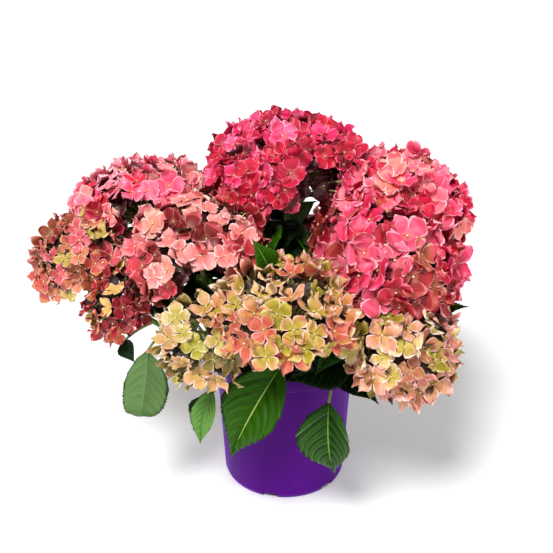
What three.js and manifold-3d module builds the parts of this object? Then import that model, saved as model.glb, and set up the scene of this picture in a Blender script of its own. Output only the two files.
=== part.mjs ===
// A mophead hydrangea in its florist's pot: a purple moulded pot filled with potting
// compost, a short woody crown, thirteen canes that spring from it, and on each cane a
// leafy stem with a rounded flower head at its tip.
//
// Millimetres, +Z up. The origin is the middle of the pot's flat underside. +X is the
// plant's right and -Y its front.
import * as THREE from "three";
import { mergeVertices } from "three/addons/utils/BufferGeometryUtils.js";
import Module from "manifold-3d";

const wasm = await Module();
wasm.setup();

const GAP = 0.3; // clearance between neighbouring solids

// ---------------------------------------------------------------- driving dimensions

const pot = {
  height: 146,
  baseRadius: 61, // outside, where the wall meets the bottom chamfer
  mouthRadius: 69, // outside, just under the rim band
  rimRadius: 73,
  rimHeight: 15,
  wall: 1.8,
  footRadius: 58.5,
  footWidth: 5,
  chamferHeight: 5,
  recess: 6, // height of the hollow under the floor, between foot and centre pad
  padRadius: 20,
  notches: 6,
  firstNotch: -104, // azimuth in degrees
  notchWidth: 15,
  sides: 32,
};

const compost = { top: 132, bottomGap: 0.5 };

const crown = { height: 34, flareRadius: 27, domeRadius: 20, domeCentre: 14, sides: 12 };

const cane = {
  baseRadius: 3.8,
  tipRadius: 2.5,
  bare: 0.42, // share of each cane below its first leaves
  neck: 6, // cane left bare under its flower head
  leaving: 0.38, // how far a cane keeps its first direction, share of its reach
  arriving: 0.3, // how far it keeps its last one
  sides: 5,
  steps: 4,
};

const leaf = {
  petioleRadius: 1.6,
  petiole: 24,
  thickness: 0.016, // share of the blade's length
  width: 0.31, // half-width, share of the blade's length
  outline: [[0.17, 0.74], [0.42, 1], [0.7, 0.6]], // shares of the length and of the half-width
  fold: 0.2, // how far the margin lifts above the midrib, share of the half-width
  arch: 0.1, // rise of the midrib above its chord, share of the length
  lookOut: 0.8, // how far a blade faces outward rather than straight up
  clearance: 0.5,
  tries: 14, // places tried for a leaf before it is left out
};

const floret = {
  radius: 22,
  spread: 3.7, // head surface for each floret, in squares of its radius
  notch: 0.7, // radius between two sepals, share of the floret's radius
  cup: 0.14,
  dish: 0.1,
  depth: 0.92, // share of the head's size at which a floret's middle stands
  root: 0.38, // share of the head's size at which its stalk starts
  cover: 122, // degrees from the head's axis down to its last florets
  scales: [1, 0.85, 0.7, 0.55, 0.42], // sizes tried where a neighbour is in the way
  apart: 0.97, // how far a rim keeps to its own side between two heads, 1 being halfway
};

const coreShare = 0.5; // core of a flower head, share of the head's own size

// One row for each cane. centre, across, rise and drop size its flower head: its middle,
// its radius across the axis, and its reach above and below that middle along the axis.
// lean is the head's lean as a share of the cane's own, and out is the azimuth and the
// angle from upright, in degrees, at which the cane leaves the crown. pairs are the leaf
// pairs as shares of the cane's length, turn is the azimuth of the first pair, and blade
// is the length of the leaves.
const shoots = [
  { name: "top", centre: [1, 20, 327], across: 81, rise: 47, drop: 38, lean: 0.3,
    out: [90, 0], pairs: [0.5, 0.68, 0.86], turn: 60, blade: 92 },
  { name: "upper_left", centre: [-143, 38, 281], across: 73, rise: 38, drop: 26, lean: 0.35,
    out: [163, 38], pairs: [0.52, 0.7, 0.88], turn: 80, blade: 92 },
  { name: "far_left", centre: [-192, -6, 246], across: 56, rise: 42, drop: 36, lean: 0.55,
    out: [174, 68], pairs: [0.5], turn: 120, blade: 84 },
  { name: "low_left", centre: [-150, -46, 219], across: 42, rise: 36, drop: 28, lean: 0.7,
    out: [206, 66], pairs: [], turn: 0, blade: 70 },
  { name: "left", centre: [-81, -60, 280], across: 69, rise: 44, drop: 28, lean: 0.4,
    out: [216, 36], pairs: [0.55, 0.78], turn: 30, blade: 84 },
  { name: "front", centre: [-2, -128, 250], across: 66, rise: 34, drop: 26, lean: 0.3,
    out: [268, 62], pairs: [], turn: 0, blade: 80 },
  { name: "front_left", centre: [-71, -115, 213], across: 45, rise: 42, drop: 32, lean: 0.7,
    out: [240, 68], pairs: [], turn: 0, blade: 70 },
  { name: "upper_right", centre: [104, 10, 285], across: 76, rise: 61, drop: 44, lean: 0.5,
    out: [6, 38], pairs: [0.5, 0.7, 0.86], turn: 50, blade: 92 },
  { name: "right", centre: [91, -58, 263], across: 76, rise: 56, drop: 42, lean: 0.5,
    out: [330, 44], pairs: [0.5, 0.74], turn: 20, blade: 86 },
  { name: "lower_right", centre: [99, -95, 205], across: 65, rise: 50, drop: 32, lean: 0.65,
    out: [312, 66], pairs: [], turn: 60, blade: 76 },
  { name: "back_left", centre: [-88, 118, 224], across: 66, rise: 44, drop: 36, lean: 0.7,
    out: [124, 42], pairs: [0.5, 0.7, 0.88], turn: 40, blade: 90 },
  { name: "back_right", centre: [108, 112, 236], across: 66, rise: 46, drop: 36, lean: 0.7,
    out: [50, 42], pairs: [0.5, 0.7, 0.88], turn: 70, blade: 92 },
  { name: "back", centre: [8, 150, 176], across: 60, rise: 40, drop: 34, lean: 0.8,
    out: [88, 60], pairs: [0.6, 0.84], turn: 20, blade: 88 },
];

// The leaves that hang clear of the flower heads. Each grows at a share of its cane's
// length, with its blade from base to tip, width as half its own length's share and roll
// in degrees about its midrib.
const clearLeaves = [
  { shoot: "front", at: 0.7, base: [-2, -106, 185], tip: [-52, -122, 91], width: 0.26 },
  { shoot: "lower_right", at: 0.5, base: [43, -104, 142], tip: [47, -115, 67], width: 0.34, roll: 42 },
  { shoot: "lower_right", at: 0.85, base: [58, -84, 169], tip: [0, -98, 160], width: 0.46 },
  { shoot: "low_left", at: 0.8, base: [-128, -68, 176], tip: [-134, -92, 113], width: 0.33, roll: 135 },
  { shoot: "front_left", at: 0.7, base: [-57, -106, 159], tip: [-79, -116, 102], width: 0.2, roll: 15 },
  { shoot: "front_left", at: 0.55, base: [-70, -78, 132], tip: [-87, -94, 104], width: 0.3 },
  { shoot: "lower_right", at: 0.66, base: [50, -80, 152], tip: [86, -106, 142], width: 0.36 },
  { shoot: "front", at: 0.55, base: [-8, -72, 225], tip: [-28, -55, 268], width: 0.26 },
  { shoot: "low_left", at: 0.95, base: [-150, -52, 179], tip: [-141, -66, 161], width: 0.4 },
  { shoot: "right", at: 0.85, base: [108, -30, 198], tip: [165, -52, 221], width: 0.3 },
];

// ------------------------------------------------------------------- small helpers

const UP = new THREE.Vector3(0, 0, 1);
const radians = THREE.MathUtils.degToRad;
const golden = Math.PI * (3 - Math.sqrt(5));

// The same number between 0 and 1 for the same pair of numbers.
function chance(a, b) {
  const wave = Math.sin(a * 12.9898 + b * 78.233) * 43758.5453;
  return wave - Math.floor(wave);
}

// A unit vector at an azimuth and an elevation, both in degrees.
function pointing(azimuth, elevation) {
  const a = radians(azimuth);
  const e = radians(elevation);
  return new THREE.Vector3(Math.cos(e) * Math.cos(a), Math.cos(e) * Math.sin(a), Math.sin(e));
}

// Two unit vectors square to a direction and to each other.
function acrossOf(direction) {
  const seed = Math.abs(direction.z) < 0.9 ? UP : new THREE.Vector3(1, 0, 0);
  const u = new THREE.Vector3().crossVectors(seed, direction).normalize();
  const v = new THREE.Vector3().crossVectors(direction, u).normalize();
  return [u, v];
}

// A closed geometry from rings of points that run anticlockwise seen from the end of the
// loft. A ring of one point closes that end to a tip; any other end gets a flat cap.
function loft(rings) {
  const points = rings.flat();
  const faces = [];
  const starts = rings.map((_, i) => rings.slice(0, i).flat().length);
  rings.slice(1).forEach((ring, i) => {
    const low = rings[i];
    const sides = Math.max(low.length, ring.length);
    for (let k = 0; k < sides; k++) {
      const next = (k + 1) % sides;
      const at = (r, from, j) => from + (r.length === 1 ? 0 : j);
      const a = at(low, starts[i], k);
      const b = at(low, starts[i], next);
      const c = at(ring, starts[i + 1], next);
      const d = at(ring, starts[i + 1], k);
      if (a !== b) faces.push([a, b, c]);
      if (c !== d) faces.push([a, c, d]);
    }
  });
  const cap = (ring, start, turned) => {
    for (let k = 1; k < ring.length - 1; k++) {
      faces.push(turned ? [start, start + k + 1, start + k] : [start, start + k, start + k + 1]);
    }
  };
  cap(rings[0], 0, true);
  cap(rings.at(-1), starts.at(-1), false);
  const geometry = new THREE.BufferGeometry();
  geometry.setAttribute("position", new THREE.Float32BufferAttribute(points.flatMap((p) => p.toArray()), 3));
  geometry.setIndex(faces.flat());
  return geometry;
}

// A closed geometry as a solid that can be joined and cut.
function solid(geometry) {
  const bare = geometry.clone();
  bare.deleteAttribute("normal");
  bare.deleteAttribute("uv");
  const merged = mergeVertices(bare, 1e-4);
  return new wasm.Manifold(
    new wasm.Mesh({
      numProp: 3,
      vertProperties: new Float32Array(merged.attributes.position.array),
      triVerts: new Uint32Array(merged.index.array),
    }),
  );
}

// The outer skin of the largest piece: sealed hollows are filled and loose scraps dropped.
function whole(made) {
  const pieces = made.decompose();
  return pieces.reduce((best, piece) => (piece.volume() > best.volume() ? piece : best)).simplify(0.02);
}

function fused(solids) {
  return whole(solids.reduce((all, one) => all.add(one)));
}

function geometryOf(made) {
  const mesh = made.getMesh();
  const geometry = new THREE.BufferGeometry();
  geometry.setAttribute("position", new THREE.BufferAttribute(mesh.vertProperties, 3));
  geometry.setIndex(new THREE.BufferAttribute(mesh.triVerts, 1));
  const flat = geometry.toNonIndexed();
  flat.computeVertexNormals();
  return flat;
}

function touches(one, others) {
  return others.some((other) => one.intersect(other).volume() > 0);
}

// --------------------------------------------------------------------------- finishes

const finish = (color, roughness) => new THREE.MeshStandardMaterial({ color, roughness, metalness: 0 });
const potPlastic = finish(0x4b1590, 0.45);
const compostBrown = finish(0x2b1d14, 1);
const bark = finish(0x6b5238, 0.9);
const caneGreen = finish(0x55752c, 0.7);
const leafGreen = finish(0x2c5f1c, 0.6);
const bloomColours = {
  top: 0xd23a66, upper_left: 0xdf6a7c, far_left: 0xb9685a, low_left: 0xa84b4c,
  left: 0xe58a8a, front: 0xe2a57c, front_left: 0xd9c98a, upper_right: 0xd9486f,
  right: 0xdc4d78, lower_right: 0xe3b79c, back_left: 0xdb5f7c, back_right: 0xd64a70,
  back: 0xe09a92,
};

const plant = new THREE.Group();

function place(name, made, material) {
  const mesh = new THREE.Mesh(geometryOf(made), material);
  mesh.name = name;
  plant.add(mesh);
  return made;
}

// -------------------------------------------------------------------------------- pot

// The pot's outside radius at a height on its wall.
function wallRadius(z) {
  const share = (z - pot.chamferHeight) / (pot.height - pot.chamferHeight);
  return pot.baseRadius + (pot.mouthRadius - pot.baseRadius) * share;
}

// A closed solid of revolution from its radius and height pairs, listed up the outside
// and down the inside.
function turned(pairs, sides) {
  const profile = pairs.map(([r, z]) => new THREE.Vector2(r, z));
  const geometry = new THREE.LatheGeometry(profile, sides);
  geometry.rotateX(Math.PI / 2);
  return solid(geometry);
}

function makePot() {
  const band = pot.height - pot.rimHeight;
  const floor = pot.recess + pot.wall;
  const body = turned(
    [
      [0, 0],
      [pot.padRadius, 0],
      [pot.padRadius + pot.recess, pot.recess],
      [pot.footRadius - pot.footWidth - pot.recess, pot.recess],
      [pot.footRadius - pot.footWidth, 0],
      [pot.footRadius, 0],
      [pot.baseRadius, pot.chamferHeight],
      [wallRadius(band), band],
      [pot.rimRadius - 1, band + 1],
      [pot.rimRadius, pot.height - 1.5],
      [pot.rimRadius - 1.5, pot.height],
      [pot.mouthRadius - pot.wall + 1, pot.height - 1],
      [wallRadius(floor) - pot.wall, floor + 2],
      [wallRadius(floor) - pot.wall - 3, floor],
      [0, floor],
    ],
    pot.sides,
  );
  const inner = pot.footRadius - pot.notchWidth;
  const block = new THREE.BoxGeometry(pot.notchWidth * 2, pot.notchWidth, pot.recess * 2);
  block.translate(inner + pot.notchWidth, 0, 0);
  let made = body;
  for (let k = 0; k < pot.notches; k++) {
    const cutter = block.clone();
    cutter.rotateZ(radians(pot.firstNotch + (360 / pot.notches) * k));
    made = made.subtract(solid(cutter));
  }
  return whole(made);
}

// The compost fills the pot from its floor to a flat top, 0.3 mm clear of the plastic.
function makeCompost() {
  const floor = pot.recess + pot.wall;
  const inside = (z) => wallRadius(z) - pot.wall - GAP * 2;
  return turned(
    [
      [0, floor + compost.bottomGap],
      [inside(floor) - 4, floor + compost.bottomGap],
      [inside(floor) - 1, floor + 4],
      [inside(compost.top) - 2, compost.top - 4],
      [inside(compost.top) - 8, compost.top],
      [0, compost.top],
    ],
    pot.sides,
  );
}

// The woody crown stands on the compost: a root flare, a waist and a knuckled dome.
function makeCrown() {
  const foot = compost.top + GAP;
  const domeAt = (angle) => [
    crown.domeRadius * Math.cos(radians(angle)),
    compost.top + crown.domeCentre + crown.domeRadius * Math.sin(radians(angle)),
  ];
  return turned(
    [[0, foot], [crown.flareRadius, foot], [crown.flareRadius * 0.8, foot + 5], domeAt(-15), domeAt(15),
      domeAt(45), domeAt(70), [0, compost.top + crown.height]],
    crown.sides,
  );
}

// ------------------------------------------------------------------------------ canes

// The flower head's axis leans away from the crown by a share of the cane's own lean.
function headAxis(shoot) {
  const [x, y, z] = shoot.centre;
  const lean = Math.atan2(Math.hypot(x, y), z - compost.top) * shoot.lean;
  const azimuth = Math.atan2(y, x);
  return new THREE.Vector3(Math.sin(lean) * Math.cos(azimuth), Math.sin(lean) * Math.sin(azimuth), Math.cos(lean));
}

// The line of a cane: it leaves the crown squarely and runs up into its head's axis.
function caneLine(shoot) {
  const centre = new THREE.Vector3(...shoot.centre);
  const axis = headAxis(shoot);
  const start = pointing(shoot.out[0], 90 - shoot.out[1]);
  const knuckle = new THREE.Vector3(0, 0, compost.top + crown.domeCentre);
  const foot = knuckle.addScaledVector(start, crown.domeRadius + GAP);
  const neck = centre.clone().addScaledVector(axis, -shoot.drop - cane.neck);
  const reach = foot.distanceTo(neck);
  return new THREE.CubicBezierCurve3(
    foot,
    foot.clone().addScaledVector(start, reach * cane.leaving),
    neck.clone().addScaledVector(axis, -reach * cane.arriving),
    neck,
  );
}

const caneRadius = (share) => cane.baseRadius + (cane.tipRadius - cane.baseRadius) * share;

// A tapering limb along part of a line, from one share of it to another.
function limb(line, from, to, sides, steps) {
  const rings = [];
  for (let i = 0; i <= steps; i++) {
    const share = from + ((to - from) * i) / steps;
    const centre = line.getPoint(share);
    const [u, v] = acrossOf(line.getTangent(share));
    const ring = [];
    for (let k = 0; k < sides; k++) {
      const angle = (2 * Math.PI * k) / sides;
      ring.push(
        centre.clone()
          .addScaledVector(u, caneRadius(share) * Math.cos(angle))
          .addScaledVector(v, caneRadius(share) * Math.sin(angle)),
      );
    }
    rings.push(ring);
  }
  return solid(loft(rings));
}

// ----------------------------------------------------------------------------- leaves

// One leaf: a petiole from the stem and a blade from base to tip, as a loft of diamond
// sections. The midrib arches above its chord and the margins fold up from it.
function leafSolid({ root, base, tip, width = leaf.width, roll = 0 }, swell = 0) {
  const chord = tip.clone().sub(base);
  const length = chord.length();
  chord.normalize();
  const sky = new THREE.Vector3(base.x, base.y, 0).setLength(leaf.lookOut).add(UP);
  const face = sky.addScaledVector(chord, -sky.dot(chord)).normalize();
  face.applyAxisAngle(chord, radians(roll));
  const side = new THREE.Vector3().crossVectors(face, chord);
  const half = length * width + swell;
  const thick = (length * leaf.thickness) / 2 + swell;
  const ring = (centre, width, depth) => [
    centre.clone().addScaledVector(side, width).addScaledVector(face, width * leaf.fold),
    centre.clone().addScaledVector(face, depth),
    centre.clone().addScaledVector(side, -width).addScaledVector(face, width * leaf.fold),
    centre.clone().addScaledVector(face, -depth),
  ];
  const midrib = (share) =>
    base.clone()
      .addScaledVector(chord, length * share)
      .addScaledVector(face, 4 * leaf.arch * length * share * (1 - share));
  const petiole = leaf.petioleRadius + swell;
  return solid(
    loft([
      ring(root, petiole, petiole),
      ring(base, petiole, petiole),
      ...leaf.outline.map(([along, wide]) => ring(midrib(along), half * wide, thick)),
      [midrib(1)],
    ]),
  );
}

// The places tried for one leaf of a pair, first the likeliest. The two leaves of a pair
// stand on opposite sides of the stem, and each pair is turned a right angle from the last.
function leafPlaces(shoot, line, pair, flip) {
  const root = line.getPoint(shoot.pairs[pair]);
  const seed = shoot.centre[0] + pair * 7 + flip;
  const places = [];
  for (let attempt = 0; attempt < leaf.tries; attempt++) {
    const draw = (k) => chance(seed, attempt * 5 + k);
    const azimuth = shoot.turn + 90 * pair + flip + (draw(1) - 0.5) * (20 + 12 * attempt);
    const rise = 34 - 30 * draw(2);
    const droop = -6 - 44 * draw(3);
    const length = shoot.blade * (1.06 - 0.3 * draw(4));
    const base = root.clone().addScaledVector(pointing(azimuth, rise), leaf.petiole);
    const tip = base.clone().addScaledVector(pointing(azimuth, droop), length);
    places.push({ root, base, tip });
  }
  return places;
}

// The leaves of a shoot that hang clear of the flower heads.
function clearPlaces(shoot, line) {
  return clearLeaves.filter((one) => one.shoot === shoot.name).map((one) => ({
    ...one,
    root: line.getPoint(one.at),
    base: new THREE.Vector3(...one.base),
    tip: new THREE.Vector3(...one.tip),
  }));
}

// -------------------------------------------------------------------------- flower heads

// A head's own frame: its middle, axis and two directions across the axis.
function headFrame(shoot) {
  const axis = headAxis(shoot);
  const [u, v] = acrossOf(axis);
  return { ...shoot, middle: new THREE.Vector3(...shoot.centre), axis, u, v };
}

// The point of a head at an angle from its axis and a turn about it, scaled by share.
function headPoint(head, angle, turn, share = 1) {
  const along = Math.cos(angle) * (Math.cos(angle) > 0 ? head.rise : head.drop);
  const across = Math.sin(angle) * head.across;
  return head.middle.clone()
    .addScaledVector(head.axis, along * share)
    .addScaledVector(head.u, across * Math.cos(turn) * share)
    .addScaledVector(head.v, across * Math.sin(turn) * share);
}

// How far a point is from a head's middle, where 1 is on the head's outside.
function headShare(head, point) {
  const offset = point.clone().sub(head.middle);
  const along = offset.dot(head.axis);
  return Math.hypot(
    along / (along > 0 ? head.rise : head.drop),
    offset.dot(head.u) / head.across,
    offset.dot(head.v) / head.across,
  );
}

// A floret: four broad sepals as a star, and a stalk that tapers from them to its root.
function floretSolid(middle, face, root, radius, twist) {
  const [u, v] = acrossOf(face);
  const rim = [];
  for (let k = 0; k < 8; k++) {
    const isTip = k % 2 === 0;
    const angle = twist + (Math.PI / 4) * k;
    const reach = isTip ? radius : radius * floret.notch;
    rim.push(
      middle.clone()
        .addScaledVector(u, Math.cos(angle) * reach)
        .addScaledVector(v, Math.sin(angle) * reach)
        .addScaledVector(face, isTip ? radius * floret.cup : 0),
    );
  }
  const dish = middle.clone().addScaledVector(face, -radius * floret.dish);
  return { rim, made: solid(loft([[root], rim, [dish]])) };
}

// The head's core, a faceted ball of the head's own shape.
function coreSolid(head) {
  const ball = new THREE.IcosahedronGeometry(1, 1);
  const place = ball.attributes.position;
  for (let i = 0; i < place.count; i++) {
    const p = new THREE.Vector3().fromBufferAttribute(place, i);
    const made = headPoint(head, Math.acos(THREE.MathUtils.clamp(p.z, -1, 1)), Math.atan2(p.y, p.x), coreShare);
    place.setXYZ(i, made.x, made.y, made.z);
  }
  return solid(ball);
}

// How many florets cover a head, from the area of its surface down to the last of them.
function floretCount(head) {
  const mean = head.across * 0.4 + head.rise * 0.4 + head.drop * 0.2;
  const area = 2 * Math.PI * (1 - Math.cos(radians(floret.cover))) * head.across * mean;
  return Math.round(area / (floret.spread * floret.radius ** 2));
}

// Florets stand in a golden-angle spiral from the top of the head to its underside. One
// that would reach into a neighbouring head's space stands deeper and smaller, and one
// that still would, or would touch another solid, is left out.
function florets(head, heads, others) {
  const made = [];
  const count = floretCount(head);
  const lowest = Math.cos(radians(floret.cover));
  for (let i = 0; i < count; i++) {
    const angle = Math.acos(1 - ((i + 0.5) / count) * (1 - lowest));
    const turn = golden * i + head.centre[0];
    for (const scale of floret.scales) {
      const share = (floret.depth - 0.05 * chance(i, head.centre[0])) * (0.4 + 0.6 * scale);
      const middle = headPoint(head, angle, turn, share);
      const face = middle.clone().sub(headPoint(head, angle, turn, 0.2)).normalize();
      const root = headPoint(head, angle, turn, floret.root);
      const { rim, made: one } = floretSolid(middle, face, root, floret.radius * scale, chance(i, 5) * Math.PI);
      const own = rim.every((p) =>
        heads.every((other) => other === head || headShare(head, p) < headShare(other, p) * floret.apart));
      if (own && !touches(one, others)) {
        made.push(one);
        break;
      }
    }
  }
  return made;
}

// ---------------------------------------------------------------------------- the plant

const potSolid = place("pot", makePot(), potPlastic);
const compostSolid = place("compost", makeCompost(), compostBrown);
const crownSolid = place("crown", makeCrown(), bark);

const heads = shoots.map(headFrame);
const lines = new Map(shoots.map((shoot) => [shoot.name, caneLine(shoot)]));
const built = [potSolid, compostSolid, crownSolid];

for (const { name } of shoots) {
  built.push(place(`cane_${name}`, limb(lines.get(name), 0, cane.bare, cane.sides, cane.steps), caneGreen));
}

// Each cane's green stem with its clear leaves, and each head's core with its stalk.
const stems = new Map(shoots.map((shoot) => {
  const line = lines.get(shoot.name);
  const stem = limb(line, cane.bare + GAP / line.getLength(), 1, cane.sides, cane.steps);
  return [shoot.name, fused([stem, ...clearPlaces(shoot, line).map((spec) => leafSolid(spec))])];
}));
const hearts = new Map(heads.map((head) => {
  const neck = lines.get(head.name).getPoint(1).addScaledVector(head.axis, GAP);
  const stalk = limb(new THREE.LineCurve3(neck, head.middle), 0, 1, cane.sides, 1);
  return [head.name, coreSolid(head).add(stalk)];
}));
const othersOf = (map, name) => [...map].filter(([key]) => key !== name).map(([, made]) => made);

for (const head of heads) {
  const others = [...built, ...stems.values(), ...othersOf(hearts, head.name)];
  const parts = [hearts.get(head.name), ...florets(head, heads, others)];
  built.push(place(`bloom_${head.name}`, fused(parts), finish(bloomColours[head.name], 0.7)));
}

// The paired leaves come last, each in the first of its places that touches nothing.
for (const shoot of shoots) {
  const others = [...built, ...othersOf(stems, shoot.name)];
  const kept = [stems.get(shoot.name)];
  for (let pair = 0; pair < shoot.pairs.length; pair++) {
    for (const flip of [0, 180]) {
      const places = leafPlaces(shoot, lines.get(shoot.name), pair, flip);
      const open = places.find((spec) => !touches(leafSolid(spec, leaf.clearance), others));
      if (open) kept.push(leafSolid(open));
    }
  }
  built.push(place(`leaves_${shoot.name}`, fused(kept), leafGreen));
}

export default plant;
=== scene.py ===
import math

import bmesh
import bpy
import numpy as np
from mathutils import Matrix, Vector, noise


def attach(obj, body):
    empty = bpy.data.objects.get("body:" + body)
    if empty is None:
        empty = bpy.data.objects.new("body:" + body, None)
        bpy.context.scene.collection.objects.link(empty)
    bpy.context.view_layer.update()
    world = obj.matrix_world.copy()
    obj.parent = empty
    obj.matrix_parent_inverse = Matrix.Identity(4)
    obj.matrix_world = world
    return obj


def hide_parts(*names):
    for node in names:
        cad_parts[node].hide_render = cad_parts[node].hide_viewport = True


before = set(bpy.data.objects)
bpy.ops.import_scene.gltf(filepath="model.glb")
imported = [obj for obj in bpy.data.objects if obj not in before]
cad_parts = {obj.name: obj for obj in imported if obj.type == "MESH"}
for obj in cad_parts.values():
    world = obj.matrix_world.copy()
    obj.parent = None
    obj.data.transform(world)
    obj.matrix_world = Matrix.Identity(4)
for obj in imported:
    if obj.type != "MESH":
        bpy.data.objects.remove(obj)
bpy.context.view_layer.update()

# ------------------------------------------------------------------------------ camera
# It stands a little over a metre off, about as high again as the plant, and looks down
# on it, with a long lens that keeps the pot's sides nearly parallel.

MM = 0.001
LOOK_AT = Vector((-8, 0, 219)) * MM
STAND_OFF = 1150 * MM
LOOK_DOWN = math.radians(26.5)
PICTURE_WIDTH = 553
FOCAL_LENGTH_IN_PIXELS = 1190

camera_data = bpy.data.cameras.new("Camera")
camera_data.sensor_width = 36
camera_data.lens = camera_data.sensor_width * FOCAL_LENGTH_IN_PIXELS / PICTURE_WIDTH
camera = bpy.data.objects.new("Camera", camera_data)
camera.location = LOOK_AT + STAND_OFF * Vector((0, -math.cos(LOOK_DOWN), math.sin(LOOK_DOWN)))
camera.rotation_euler = (math.pi / 2 - LOOK_DOWN, 0, 0)
bpy.context.scene.collection.objects.link(camera)
bpy.context.scene.camera = camera

# --------------------------------------------------------------------------------- pot
# An injection-moulded grower's pot in deep violet polypropylene, thin-walled, with a
# rolled band at the mouth and a foot ring cut by six notches that let water out.

POT_HEIGHT = 146
POT_BASE_RADIUS = 61
POT_MOUTH_RADIUS = 69
POT_RIM_RADIUS = 73
POT_RIM_HEIGHT = 15
POT_WALL = 1.8
POT_FOOT_RADIUS = 58.5
POT_FOOT_WIDTH = 5
POT_CHAMFER_HEIGHT = 5
POT_RECESS = 6
POT_PAD_RADIUS = 20
POT_NOTCHES = 6
POT_FIRST_NOTCH = -104
POT_NOTCH_WIDTH = 15
POT_SIDES = 180
POT_ROUNDING = 1.2
POT_NOTCH_CORNER = 0.03


class Wire:
    """A socket of a node tree, on which sums are written as on a number."""

    def __init__(self, tree, socket=None):
        self.tree = tree
        self.socket = socket

    def node(self, kind, settings=None, values=None, out=None):
        """Adds a node, makes its settings, then fills its sockets, and gives an output of it."""
        made = self.tree.nodes.new(kind)
        for name, value in (settings or {}).items():
            setattr(made, name, value)
        for key, value in (values or {}).items():
            sockets = [s for s in made.inputs if s.enabled]
            socket = sockets[key] if isinstance(key, int) else next(s for s in sockets if s.name == key)
            if isinstance(value, Wire):
                self.tree.links.new(value.socket, socket)
            else:
                socket.default_value = value
        shown = [s for s in made.outputs if s.enabled]
        if out is not None:
            shown = [s for s in shown if s.name == out]
        return Wire(self.tree, shown[0])

    def math(self, operation, *values):
        """Adds a Math node on numbers and wires."""
        return self.node("ShaderNodeMath", {"operation": operation}, dict(enumerate(values)))

    def __add__(self, other):
        return self.math("ADD", self, other)

    def __mul__(self, other):
        return self.math("MULTIPLY", self, other)

    __radd__ = __add__
    __rmul__ = __mul__


def srgb(red, green, blue):
    """A linear colour from screen values of 0 to 255."""
    return tuple(
        c / 12.92 if c <= 0.04045 else ((c + 0.055) / 1.055) ** 2.4
        for c in (red / 255, green / 255, blue / 255)
    )


def paint(name, colour, roughness, pattern=None, **constants):
    """A finish. pattern is given the shader's wires and returns what changes over the surface."""
    material = bpy.data.materials.new(name)
    material.use_nodes = True
    shader = material.node_tree.nodes["Principled BSDF"]
    shader.inputs["Base Color"].default_value = (*colour, 1)
    shader.inputs["Roughness"].default_value = roughness
    for socket, value in constants.items():
        shader.inputs[socket.replace("_", " ")].default_value = value
    material.diffuse_color = (*colour, 1)
    if pattern:
        wires = Wire(material.node_tree)
        place = wires.node("ShaderNodeTexCoord", out="Object")
        for socket, wire in pattern(wires, place).items():
            material.node_tree.links.new(wire.socket, shader.inputs[socket])
    return material


def blotches(wires, place, scale, detail=3.0, roughness=0.55):
    """Soft random patches from 0 to 1 over a surface, scale to the metre."""
    values = {"Vector": place, "Scale": scale, "Detail": detail, "Roughness": roughness}
    return wires.node("ShaderNodeTexNoise", None, values)


def blend(wires, share, first, second):
    """A colour between two."""
    return wires.node("ShaderNodeMix", {"data_type": "RGBA"}, {"Factor": share, "A": first, "B": second})


def bump(wires, height, depth):
    """Fine relief of a depth in metres."""
    return wires.node("ShaderNodeBump", None, {"Height": height, "Distance": depth, "Strength": 1.0})


def piece_from(name, verts, faces, finish, smooth=True):
    """A mesh piece of one finish, in the scene."""
    mesh = bpy.data.meshes.new(name)
    mesh.from_pydata([tuple(map(float, v)) for v in verts], [], faces)
    mesh.materials.append(finish)
    mesh.polygons.foreach_set("use_smooth", [smooth] * len(mesh.polygons))
    mesh.update()
    piece = bpy.data.objects.new(name, mesh)
    bpy.context.scene.collection.objects.link(piece)
    return piece


def weld(piece, reach=1e-6):
    """Joins points that lie together and turns the faces outwards."""
    form = bmesh.new()
    form.from_mesh(piece.data)
    bmesh.ops.remove_doubles(form, verts=form.verts, dist=reach)
    bmesh.ops.recalc_face_normals(form, faces=form.faces)
    form.to_mesh(piece.data)
    form.free()


def mounted(piece, slot, *nodes):
    """The piece moves with the plant and stands for the nodes, which are hidden. The slot is not used."""
    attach(piece, "root")
    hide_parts(*nodes)


def wall_radius(z):
    """The outside of the pot's tapered wall at a height."""
    share = (z - POT_CHAMFER_HEIGHT) / (POT_HEIGHT - POT_CHAMFER_HEIGHT)
    return POT_BASE_RADIUS + (POT_MOUTH_RADIUS - POT_BASE_RADIUS) * share


def rounded(corners, radius, steps=3):
    """The outline with each corner away from the axis taken round an arc."""
    outline = []
    for before, corner, after in zip([corners[-1]] + corners[:-1], corners, corners[1:] + [corners[0]]):
        here = Vector(corner)
        if corner[0] == 0:
            outline.append(tuple(corner))
            continue
        back = Vector(before) - here
        on = Vector(after) - here
        reach = min(radius, back.length * 0.4, on.length * 0.4)
        start = here + back.normalized() * reach
        end = here + on.normalized() * reach
        for k in range(steps + 1):
            t = k / steps
            point = start * (1 - t) ** 2 + here * 2 * t * (1 - t) + end * t**2
            outline.append((point.x, point.y))
    return outline


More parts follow.
